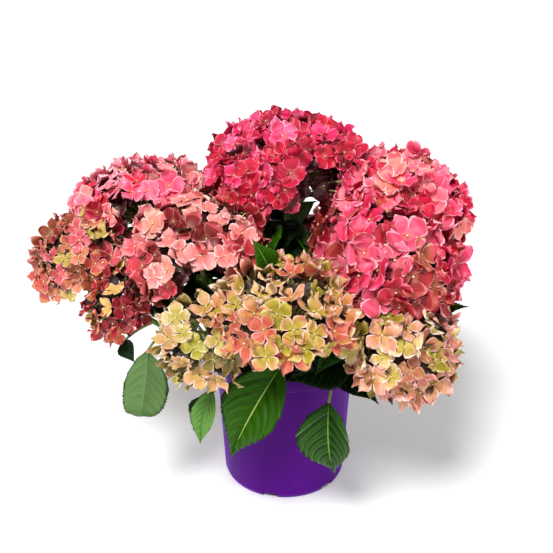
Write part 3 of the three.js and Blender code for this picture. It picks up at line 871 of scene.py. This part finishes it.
def leaf_shape(name, droop, fold, wave, seed, outline=LEAF_OUTLINE, curl=0.0):
    """A blade of unit length along Y and half-width 1 along X, in two skins that meet at
    the saw-toothed margin; curl rolls the tip under."""
    rows = [0.0]
    vein_row = [False]
    for k in range(LEAF_VEINS):
        low, high = k / LEAF_VEINS, (k + 1) / LEAF_VEINS
        for i in range(1, VEIN_ROWS):
            rows.append(low + (high - VEIN_WIDTH - low) * i / (VEIN_ROWS - 1))
            vein_row.append(False)
        rows.append(high)
        vein_row.append(True)
    rows = [LEAF_LAST_ROW * r for r in rows]
    half = [0, 0.025] + [0.025 + 0.975 * (k / (LEAF_COLUMNS - 1)) for k in range(1, LEAF_COLUMNS)]
    columns = [-s for s in reversed(half[1:])] + half
    verts, faces, zones = [], [], []

    def point(i, s, under):
        """The point of a skin in a row, at a share s of the half-width."""
        row = rows[i]
        sweep = VEIN_SWEEP * abs(s) ** 1.5 * (1 - row) * min(1, row * 5)
        t = min(1.0, row + sweep)
        width = leaf_half_width(outline, t)
        edge = abs(s) > 0.999
        tooth = (LEAF_TOOTH if i % 2 else LEAF_TOOTH_NOTCH) if edge and 0.08 < t < 0.93 else 0
        x = math.copysign(abs(s) * (width + tooth), s) if s else 0.0
        between = (row * LEAF_VEINS / LEAF_LAST_ROW) % 1
        quilt = LEAF_QUILT * math.sin(math.pi * between) * min(1, 6 * (abs(s) - 0.03)) * (1 - abs(s) ** 3)
        margin = wave * math.sin(2 * math.pi * (2.3 * t + seed) + (1.3 if s > 0 else 0)) * abs(s) ** 2
        z = fold * abs(x) * LEAF_WIDTH + 4 * LEAF_ARCH * t * (1 - t) - droop * max(0, t - 0.55) ** 2
        z += (max(0, quilt) + margin) * (1 if t < 0.97 else 0.3)
        if under and not edge:
            z -= LEAF_THICKNESS
        y = t + (0.004 if edge and i % 2 else 0)
        if curl and y > CURL_FROM:
            turn = curl * (y - CURL_FROM)
            y, z = CURL_FROM + math.sin(turn) / curl, z - (1 - math.cos(turn)) / curl
        return (x, y, z)

    n = len(columns)
    for under in (False, True):
        first = len(verts)
        for i in range(len(rows)):
            for s in columns:
                verts.append(point(i, s, under))
        for i in range(len(rows) - 1):
            for k in range(n - 1):
                a = first + i * n + k
                faces.append((a, a + n, a + n + 1, a + 1) if under else (a, a + 1, a + n + 1, a + n))
                middle = k in (n // 2 - 1, n // 2)
                if under:
                    zones.append(LEAF_BACK_VEIN if vein_row[i + 1] or middle else LEAF_BACK)
                elif middle:
                    zones.append(LEAF_MIDRIB)
                elif vein_row[i + 1]:
                    zones.append(LEAF_VEIN)
                else:
                    # Faces just beyond a side vein get the hollow's painted shade.
                    zones.append(LEAF_SHADED_HOLLOW if vein_row[i] and i else LEAF_BLADE)
    shape = zoned_shape(name, verts, faces, zones)
    form = bmesh.new()
    form.from_mesh(shape.data)
    bmesh.ops.remove_doubles(form, verts=form.verts, dist=1e-5)
    bmesh.ops.dissolve_degenerate(form, edges=form.edges, dist=1e-6)
    form.to_mesh(shape.data)
    form.free()
    return shape


def leaf_place(root, base, tip, width, roll, tint, kind):
    """A leaf as the scatter wants it, and the stalk it stands on."""
    chord = (tip - base).normalized()
    sky = Vector((base.x, base.y, 0)).normalized() * LEAF_LOOK_OUT + UP
    face = (sky - chord * sky.dot(chord)).normalized()
    face.rotate(Matrix.Rotation(math.radians(roll), 3, chord))
    length = (tip - base).length
    return {
        "at": base * MM, "face": face, "along": chord, "kind": kind, "tint": list(LEAF_TINTS).index(tint),
        "size": (length * width * MM, length * MM, length * MM), "root": root * MM,
    }


def packed_points(node):
    """The solid's own points, in millimetres."""
    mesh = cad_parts[node].data
    points = np.empty(len(mesh.vertices) * 3)
    mesh.vertices.foreach_get("co", points)
    return points.reshape(-1, 3) / MM


def grown_leaves():
    """Every leaf that the solids carry: their rule and their draws again, where the try
    that was kept is found by the leaf's tip among the solid's points."""
    leaves = []
    for number, (name, shoot) in enumerate(SHOOTS.items()):
        line = cane_line(shoot)
        points = packed_points(f"leaves_{name}")
        for owner, share, base, tip, width, roll, tint in CLEAR_LEAVES:
            if owner == name:
                root = along(line, share)
                kind = CLEAR_LEAF_SHAPES.get(tint, 0)
                leaves.append(leaf_place(root, Vector(base), Vector(tip), width, roll, tint, kind))
        for pair, share in enumerate(shoot["pairs"]):
            for flip in (0, 180):
                root = along(line, share)
                seed = shoot["centre"][0] + pair * 7 + flip
                for attempt in range(LEAF_TRIES):
                    draw = [chance(seed, attempt * 5 + k) for k in range(5)]
                    azimuth = shoot["turn"] + 90 * pair + flip + (draw[1] - 0.5) * (20 + 12 * attempt)
                    base = root + pointing(azimuth, 34 - 30 * draw[2]) * LEAF_STALK
                    length = shoot["blade"] * (1.06 - 0.3 * draw[4])
                    tip = base + pointing(azimuth, -6 - 44 * draw[3]) * length
                    if np.abs(points - np.array(tip)).max(1).min() < 0.1:
                        tint = ("deep", "mid", "deep", "olive")[int(4 * chance(seed, 91))]
                        leaves.append(leaf_place(root, base, tip, LEAF_WIDTH, 0, tint, number % 3))
                        break
    return leaves


def inner_leaves():
    """Small dark leaves on the stems under the heads, wherever there is room for them."""
    leaves = []
    for number, (name, shoot) in enumerate(SHOOTS.items()):
        line = cane_line(shoot)
        for k in range(INNER_LEAVES):
            draw = [chance(number * 31 + k, j) for j in range(6)]
            root = along(line, 0.46 + 0.5 * draw[0])
            azimuth = 360 * draw[1]
            base = root + pointing(azimuth, 30 * draw[2]) * (8 + 10 * draw[3])
            tip = base + pointing(azimuth, 25 - 60 * draw[4]) * (42 + 26 * draw[5])
            ends = (base.lerp(tip, 0.5), tip)
            nearest = min(head_share(other, end) for other in SHOOTS.values() for end in ends)
            low = tip.z < COMPOST_TOP + INNER_LEAF_OVER_COMPOST
            outside = math.hypot(tip.x, tip.y) > INNER_LEAF_REACH or tip.y < INNER_LEAF_FRONT
            if nearest < INNER_LEAF_HEAD_SHARE or low or outside:
                continue
            leaves.append(leaf_place(root, base, tip, INNER_LEAF_WIDTH, 0, "deep", k % 3))
    return leaves


def leaf_stalks(leaves):
    """A stalk from the cane to each blade and a little way along its midrib."""
    verts, faces = [], []
    for leaf in leaves:
        root, base = leaf["root"], Vector(leaf["at"])
        sag = UP * (base - root).length * 0.06
        shares = np.linspace(0, 1, 9)
        centres = [root.lerp(base, t) + sag * math.sin(math.pi * t) for t in shares]
        centres.append(base + Vector(leaf["along"]) * leaf["size"][1] * 0.04)
        radii = [(LEAF_STALK_RADIUS - LEAF_STALK_TAPER * t) * MM for t in shares]
        radii.append(LEAF_STALK_END * MM)
        tube(verts, faces, centres, radii, 8)
    return verts, faces


def leaf_relief(roughness):
    """The fine net of veins between the side veins, on a blade of that roughness."""

    def pattern(wires, place):
        cells = blotches(wires, place, 700, 3.0)
        return {"Roughness": roughness - 0.06 + cells * 0.14, "Normal": bump(wires, cells, 0.0009)}

    return pattern


def leaf_paints():
    """The paints of every tint of leaf, in the order of the zones."""
    paints = []
    for tint, (blade, vein, midrib, shade_share, shine, roughness) in LEAF_TINTS.items():
        label = tint.capitalize()
        # The hollow's colour is the blade darkened as painted shade.
        painted_shade_green = srgb(*(shade_share * c for c in blade))
        paints += [
            paint(f"Leaf{label}", srgb(*blade), roughness, leaf_relief(roughness), Specular_IOR_Level=shine),
            paint(f"LeafVein{label}", srgb(*vein), 0.5, Specular_IOR_Level=0.2),
            paint(f"LeafMidrib{label}", srgb(*midrib), 0.5, Specular_IOR_Level=0.2),
            paint(f"LeafUnder{label}", srgb(*LEAF_UNDER[0]), 0.7, leaf_relief(0.7), Specular_IOR_Level=0.2),
            paint(f"LeafUnderVein{label}", srgb(*LEAF_UNDER[1]), 0.7, Specular_IOR_Level=0.2),
            paint(f"LeafShadedHollow{label}", painted_shade_green, roughness, Specular_IOR_Level=shine),
        ]
    return paints


# Three usual blades, and the one that curls its tip under.
leaf_shapes = [
    leaf_shape("LeafFlat", 0.25, 0.5, 0.012, 0.1),
    leaf_shape("LeafWavy", 0.45, 0.7, 0.022, 0.45),
    leaf_shape("LeafFolded", 0.35, 1.1, 0.016, 0.8),
    leaf_shape("LeafCurled", 0.0, 0.4, 0.02, 0.3, BLUNT_OUTLINE, curl=6.5),
]
leaves = grown_leaves() + inner_leaves()
blades = scatter("LeafBlades", leaves, leaf_shapes, leaf_paints(), zones=LEAF_SHADED_HOLLOW + 1)
mounted(blades, "foliage", *[f"leaves_{name}" for name in SHOOTS])
stalk_green = paint("LeafStalkGreen", srgb(150, 172, 74), 0.5)
stalks = piece_from("LeafStalks", *leaf_stalks(leaves), stalk_green)
mounted(stalks, "foliage", *[f"leaves_{name}" for name in SHOOTS])

# ------------------------------------------------------------------------ flower heads
# Rounded mophead clusters of sterile florets, each of four broad overlapping sepals
# round a tiny bead. They fill each head in two layers, of which the inner one is painted dark as shade.

# Where heads part and the dark inside of the plant shows: the heads, the middle and radius.
CLEARINGS = [
    (("upper_left", "far_left", "left"), (-130, -20, 281), 31),
    (("top",), (34, -46, 328), 27),
    (("upper_right", "right"), (40, -50, 320), 23),
    (("left",), (-66, -118, 264), 30),
]
# How much florets look up, how far round from the top they reach in degrees, the depths
# of the outer and the inner layer, how full the inner one is, the gap between heads, how
# small florets get there, and how much each one leans and differs in size.
FACE_UP = 0.3
HEAD_COVER = 120
OUTER_DEPTH = 0.89
INNER_DEPTH = 0.7
INNER_SHARE = 0.6
HEAD_GAP = 0.93
CROWDED_SCALES = (1, 0.85, 0.7, 0.55, 0.42)
FLORET_TILT = 0.62
FLORET_JITTER = 0.05

# Each palette's tones: how common a tone is, then the sepals' outer and inner colours.
PALETTES = {
    "Crimson": [
        (0.25, (248, 62, 124), (216, 20, 74)),
        (0.2, (255, 128, 170), (238, 48, 104)),
        (0.2, (212, 18, 68), (162, 4, 40)),
        (0.2, (228, 38, 74), (190, 12, 42)),
        (0.15, (156, 6, 38), (98, 2, 20)),
    ],
    "Rose": [
        (0.25, (254, 98, 138), (240, 44, 88)),
        (0.23, (255, 156, 172), (248, 82, 112)),
        (0.17, (255, 184, 172), (246, 112, 104)),
        (0.18, (238, 42, 86), (200, 16, 52)),
        (0.17, (200, 24, 60), (138, 8, 34)),
    ],
    "Pink": [
        (0.24, (236, 72, 118), (202, 18, 60)),
        (0.18, (248, 138, 160), (218, 48, 90)),
        (0.2, (214, 40, 72), (166, 10, 36)),
        (0.26, (182, 36, 40), (132, 12, 16)),
        (0.12, (212, 126, 98), (170, 68, 44)),
    ],
    "Coral": [
        (0.32, (255, 128, 158), (252, 66, 108)),
        (0.27, (255, 174, 192), (255, 100, 133)),
        (0.22, (255, 200, 194), (255, 132, 135)),
        (0.12, (248, 62, 94), (216, 24, 57)),
        (0.07, (208, 34, 59), (156, 12, 35)),
    ],
    "Salmon": [
        (0.27, (249, 141, 148), (234, 71, 89)),
        (0.2, (252, 184, 179), (240, 109, 110)),
        (0.08, (248, 192, 176), (228, 126, 112)),
        (0.23, (226, 75, 87), (186, 34, 48)),
        (0.22, (158, 36, 36), (109, 13, 17)),
    ],
    "Dusky": [
        (0.18, (233, 172, 132), (196, 92, 66)),
        (0.19, (222, 116, 98), (184, 56, 50)),
        (0.14, (216, 198, 118), (178, 150, 56)),
        (0.15, (236, 138, 142), (206, 60, 78)),
        (0.17, (166, 84, 46), (126, 50, 24)),
        (0.17, (172, 38, 44), (116, 16, 22)),
    ],
    "Garnet": [
        (0.3, (185, 39, 50), (125, 13, 26)),
        (0.22, (141, 17, 30), (89, 6, 14)),
        (0.22, (235, 117, 86), (193, 71, 44)),
        (0.26, (254, 220, 150), (229, 168, 78)),
    ],
    "Peach": [
        (0.22, (244, 188, 162), (196, 118, 52)),
        (0.22, (242, 184, 152), (164, 142, 24)),
        (0.12, (228, 132, 116), (186, 76, 46)),
        (0.2, (212, 186, 84), (144, 130, 10)),
        (0.1, (248, 212, 186), (188, 150, 60)),
        (0.14, (136, 76, 34), (88, 46, 14)),
    ],
    "Cream": [
        (0.27, (242, 212, 182), (168, 152, 44)),
        (0.24, (244, 186, 164), (180, 134, 50)),
        (0.17, (214, 200, 112), (146, 142, 20)),
        (0.18, (150, 126, 54), (104, 88, 22)),
        (0.14, (232, 144, 128), (182, 92, 58)),
    ],
    "Blush": [
        (0.3, (248, 190, 180), (190, 126, 66)),
        (0.24, (242, 168, 162), (200, 98, 80)),
        (0.15, (248, 218, 196), (184, 160, 48)),
        (0.16, (206, 132, 110), (160, 90, 52)),
        (0.15, (180, 162, 62), (132, 114, 22)),
    ],
}

# Each head's palette, the radius of its florets in millimetres, how closely they overlap
# and their kind of sepal.
HEADS = {
    "top": ("Crimson", 12.5, 2.0, "round"),
    "upper_left": ("Coral", 13, 1.8, "round"),
    "far_left": ("Dusky", 12.5, 1.6, "pointed"),
    "low_left": ("Garnet", 12.5, 1.4, "pointed"),
    "left": ("Salmon", 14, 1.5, "round"),
    "front": ("Peach", 14.5, 1.5, "pointed"),
    "front_left": ("Cream", 13, 1.0, "pointed"),
    "upper_right": ("Rose", 13, 1.9, "round"),
    "right": ("Pink", 17, 1.8, "round"),
    "lower_right": ("Blush", 15, 1.5, "pointed"),
    "back_left": ("Coral", 14, 1.7, "round"),
    "back_right": ("Rose", 14, 1.7, "round"),
    "back": ("Salmon", 14, 1.6, "pointed"),
}


def mixed(first, second, share):
    """A screen colour between two."""
    return tuple(a + (b - a) * share for a, b in zip(first, second))


# The zones of paint on a floret, by number: the middle lies between heart and blade, and
# the raised blade is that of the pair of sepals on top.
CLAW, HEART, SEPAL_BLADE, SEPAL_EDGE, BEAD, RAISED_BLADE, SEPAL_MIDDLE = range(7)
# A sepal's rows from claw to tip, its half-width at each, its columns from margin to
# margin, and the zones of its rows of faces, up to the row at the tip, which is edge.
SEPAL_ROWS = (0.0, 0.22, 0.45, 0.66, 0.82, 0.93, 1.0)
SEPAL_HALF = {
    "round": (0.06, 0.31, 0.49, 0.55, 0.48, 0.33, 0.12),
    "pointed": (0.06, 0.22, 0.37, 0.42, 0.32, 0.18, 0.03),
}
SEPAL_COLUMNS = (-1.0, -0.82, -0.4, 0.0, 0.4, 0.82, 1.0)
SEPAL_ZONES = (CLAW, HEART, SEPAL_MIDDLE, SEPAL_BLADE, SEPAL_BLADE)


def sepal(verts, faces, zones, turn, lift, kind, cup, wave, seed, blade_zone):
    """One sepal from its claw to its tip, as part of a floret of unit radius."""
    first = len(verts)
    width = 0.88 + 0.25 * chance(seed, 1)
    bow = cup * (0.5 + chance(seed, 2))
    tuck = 0.6 * (chance(seed, 3) - 0.35)
    for t, half in zip(SEPAL_ROWS, SEPAL_HALF[kind]):
        for s in SEPAL_COLUMNS:
            r = 0.05 + 0.95 * t - 0.09 * s * s * t
            x = s * half * width
            z = lift + bow * r * r + tuck * 1.8 * x * x * r
            z += wave * (math.sin(5.5 * r + 2.6 * s + seed) - math.sin(seed)) * r + 0.12 * wave * s
            if abs(s) == 1:
                z += wave * 0.35 * math.sin(9 * r + 2 * seed)
            c, d = math.cos(turn), math.sin(turn)
            verts.append((r * c - x * d, r * d + x * c, z))
    n = len(SEPAL_COLUMNS)
    for i in range(len(SEPAL_ROWS) - 1):
        for k in range(n - 1):
            a = first + i * n + k
            faces.append((a, a + n, a + n + 1, a + 1))
            if i == len(SEPAL_ZONES) or (i and k in (0, n - 2)):
                zones.append(SEPAL_EDGE)
            else:
                zones.append(blade_zone if SEPAL_ZONES[i] == SEPAL_BLADE else SEPAL_ZONES[i])


def floret_shape(name, kind, cup, wave, seed):
    """Four sepals, one pair laid over the other, and the bead."""
    verts, faces, zones = [], [], []
    for k in range(4):
        shift = 0.22 * (chance(seed, k) - 0.5)
        turn = math.pi / 2 * k + shift
        lift = 0.04 * (k % 2)
        blade_zone = RAISED_BLADE if k % 2 else SEPAL_BLADE
        sepal(verts, faces, zones, turn, lift, kind, cup, wave, seed * 3 + k * 2, blade_zone)
    first = len(verts)
    verts += [(0, 0, 0.15), (0.08, 0, 0.08), (0, 0.08, 0.08), (-0.08, 0, 0.08), (0, -0.08, 0.08), (0, 0, 0)]
    for k in range(4):
        a, b = first + 1 + k, first + 1 + (k + 1) % 4
        faces += [(first, a, b), (first + 5, b, a)]
        zones += [BEAD, BEAD]
    return zoned_shape(name, verts, faces, zones)


def in_clearing(name, point):
    """Whether a head's point lies where heads part."""
    return any(
        name in heads and (point - Vector(middle)).length < radius for heads, middle, radius in CLEARINGS
    )


def in_own_space(name, point):
    """Whether a head's point is nearer to its own middle than to any other's."""
    own = head_share(SHOOTS[name], point)
    return all(own < head_share(other, point) * HEAD_GAP for key, other in SHOOTS.items() if key != name)


def drawn_tone(tones, pick):
    """The number of a tone, drawn by how common each is."""
    tone = 0
    while tone < len(tones) - 1 and pick > tones[tone][0]:
        pick -= tones[tone][0]
        tone += 1
    return tone


def floret_places(name, depth, share_of_cover, deep):
    """Florets in a golden-angle spiral over a head, from its top to its underside. Where
    two heads meet they are set deeper and smaller, or left out."""
    shoot = SHOOTS[name]
    mean = shoot["across"] * 0.4 + shoot["rise"] * 0.4 + shoot["drop"] * 0.2
    lowest = math.cos(math.radians(HEAD_COVER))
    area = 2 * math.pi * (1 - lowest) * shoot["across"] * mean
    palette, radius, cover, kind = HEADS[name]
    tones = PALETTES[palette]
    count = round(area * cover * share_of_cover / (math.pi * radius**2))
    places = []
    for i in range(count):
        draw = [chance(i * 1.37 + shoot["centre"][0] + deep * 50, k) for k in range(6)]
        angle = math.acos(1 - ((i + 0.5) / count) * (1 - lowest)) + (draw[0] - 0.5) * 0.12
        turn = math.pi * (3 - math.sqrt(5)) * i + shoot["centre"][0] + deep
        if in_clearing(name, head_point(shoot, angle, turn, depth)):
            continue
        for scale in CROWDED_SCALES:
            share = (depth - 0.1 * draw[1]) * (0.4 + 0.6 * scale)
            point = head_point(shoot, angle, turn, share)
            if in_own_space(name, point):
                break
        else:
            continue
        face = ((point - head_point(shoot, angle, turn, 0.15)).normalized() + UP * FACE_UP).normalized()
        u, v = across_of(face)
        spin = 2 * math.pi * draw[2]
        size = radius * (0.8 + 0.4 * draw[3]) * (0.6 + 0.4 * scale) * MM
        # Florets of the inner layer take the tone after the palette's last, which is painted shade.
        places.append({
            "at": point * MM,
            "face": face,
            "along": u * math.cos(spin) + v * math.sin(spin),
            "size": (size, size, size),
            "kind": int(3 * draw[5]) + (3 if kind == "pointed" else 0),
            "tint": len(tones) if deep else drawn_tone(tones, draw[4]),
        })
    return places


# What the claws turn towards, what bleaches the edges, and the painted shade given to the inner florets, dark
# as the shade between the florets.
CLAW_STRAW = (236, 214, 150)
EDGE_CREAM = (255, 238, 232)
INNER_PAINTED_SHADE = (14, 12, 6)

bead_cream = paint("BeadCream", srgb(240, 226, 178), 0.5)


def head_paints(label, tones):
    """The paints of a palette's tones, in the order of the zones, and of a painted-shade tone
    for the florets inside a head, dark as the shade between the florets."""
    paints = []
    # The inner florets' tone is painted shade: the first tone's inner colour darkened almost to black.
    dark = mixed(tones[0][2], INNER_PAINTED_SHADE, 0.86)
    shaded = (0, mixed(tones[0][2], dark, 0.75), dark)
    for number, (_, outer, inner) in enumerate(tones + [shaded]):
        lit = number < len(tones)
        key = f"{label}{number}"
        pale = 0.3 if lit else 0.06
        blade = mixed(inner, outer, 0.72)
        _, next_outer, next_inner = (tones + tones)[number + 1] if lit else shaded
        raised = mixed(blade, mixed(next_inner, next_outer, 0.5), 0.5)
        paints += [
            paint(f"SepalClaw{key}", srgb(*mixed(inner, CLAW_STRAW, 0.3)), 0.6),
            paint(f"SepalHeart{key}", srgb(*mixed(inner, outer, 0.2)), 0.5),
            paint(f"SepalBlade{key}", srgb(*blade), 0.45),
            paint(f"SepalEdge{key}", srgb(*mixed(outer, EDGE_CREAM, pale)), 0.5),
            bead_cream,
            paint(f"SepalRaised{key}", srgb(*raised), 0.45),
            paint(f"SepalMiddle{key}", srgb(*mixed(inner, outer, 0.46)), 0.48),
        ]
    return paints


# Three kinds of round floret, then three of pointed ones, as the places number them.
floret_shapes = [
    floret_shape("FloretOpen", "round", 0.12, 0.11, 1),
    floret_shape("FloretCupped", "round", 0.4, 0.13, 2),
    floret_shape("FloretWavy", "round", 0.22, 0.22, 3),
    floret_shape("StarOpen", "pointed", 0.15, 0.12, 4),
    floret_shape("StarCupped", "pointed", 0.55, 0.14, 5),
    floret_shape("StarWavy", "pointed", 0.3, 0.26, 6),
]
palette_paints = {label: head_paints(label, tones) for label, tones in PALETTES.items()}
head_places = {}
for number, name in enumerate(SHOOTS):
    outer = floret_places(name, OUTER_DEPTH, 1, 0)
    inner = floret_places(name, INNER_DEPTH, INNER_SHARE, 1)
    head_places[name] = outer + inner
    florets = scatter(
        f"Florets_{name}",
        head_places[name],
        floret_shapes,
        palette_paints[HEADS[name][0]],
        zones=SEPAL_MIDDLE + 1,
        jitter=FLORET_JITTER,
        tilt=FLORET_TILT,
        seed=number + 11,
    )
    mounted(florets, f"bloom_{name}", f"bloom_{name}")

# ------------------------------------------------------------------------- head stalks
# Inside each head the cane's neck runs on as a short fork, and thin pale green rays
# spread from it, one to the back of every floret.

# In millimetres: the radii of the fork and of a ray, how far a ray sags halfway, and how
# far behind the floret it straightens and ends.
FORK_RADII = (2.5, 2.3, 1.9)
RAY_RADII = (1.0, 0.7, 0.55, 0.5)
RAY_SAG = 4
RAY_STRAIGHT = 7
RAY_END = 0.4


def head_stalks():
    """The fork in every head and its rays, as one mesh."""
    verts, faces = [], []
    for name, shoot in SHOOTS.items():
        neck = cane_line(shoot)[3] * MM
        axis = head_axis(shoot)
        fork = (Vector(shoot["centre"]) - axis * shoot["drop"] * 0.45) * MM
        tube(verts, faces, [neck, neck.lerp(fork, 0.5), fork], [r * MM for r in FORK_RADII], 8)
        for place in head_places[name]:
            at = Vector(place["at"])
            face = Vector(place["face"])
            knee = fork.lerp(at, 0.45) - axis * RAY_SAG * MM
            bend = at - face * RAY_STRAIGHT * MM
            centres = [fork, knee, bend, at - face * RAY_END * MM]
            tube(verts, faces, centres, [r * MM for r in RAY_RADII], 4)
    return verts, faces


head_stalk_green = paint("HeadStalkGreen", srgb(188, 196, 118), 0.55)
rays = piece_from("HeadStalks", *head_stalks(), head_stalk_green)
mounted(rays, "foliage", *[f"bloom_{name}" for name in SHOOTS])

# ---------------------------------------------------------------------- floor and light
# A pale seamless floor with a faint light of its own, a broad soft light from the upper
# left in front, a weaker one from the right and an even white surround.


def floor_pattern(wires, place):
    """The floor's own faint light, which stops under the pot."""
    out = wires.node("ShaderNodeVectorMath", {"operation": "LENGTH"}, {0: place}, out="Value")
    clear = wires.math("GREATER_THAN", out, (POT_FOOT_RADIUS - 1) * MM)
    return {"Emission Color": blend(wires, clear, (0, 0, 0, 1), (1, 1, 1, 1))}


FLOOR_HALF = 40
floor_corners = [(x * FLOOR_HALF, y * FLOOR_HALF, 0) for x, y in ((-1, -1), (1, -1), (1, 1), (-1, 1))]
pale_floor = paint("PaleFloor", (0.9, 0.9, 0.9), 0.8, floor_pattern, Emission_Strength=0.25)
floor = piece_from("Floor", floor_corners, [(0, 1, 2, 3)], pale_floor, smooth=False)


def soft_light(name, towards, spread, power):
    """A broad even light from far off."""
    lamp = bpy.data.lights.new(name, "SUN")
    lamp.angle = math.radians(spread)
    lamp.energy = power
    light = bpy.data.objects.new(name, lamp)
    light.rotation_euler = Vector(towards).to_track_quat("-Z", "Y").to_euler()
    bpy.context.scene.collection.objects.link(light)


soft_light("KeyLight", (0.3, 0.66, -1.0), 20, 3.35)
soft_light("FillLight", (-0.9, 0.8, -0.4), 60, 0.7)
world = bpy.data.worlds.new("World")
world.use_nodes = True
world.node_tree.nodes["Background"].inputs["Color"].default_value = (1, 1, 1, 1)
world.node_tree.nodes["Background"].inputs["Strength"].default_value = 0.24
bpy.context.scene.world = world
bpy.context.scene.view_settings.view_transform = "Standard"
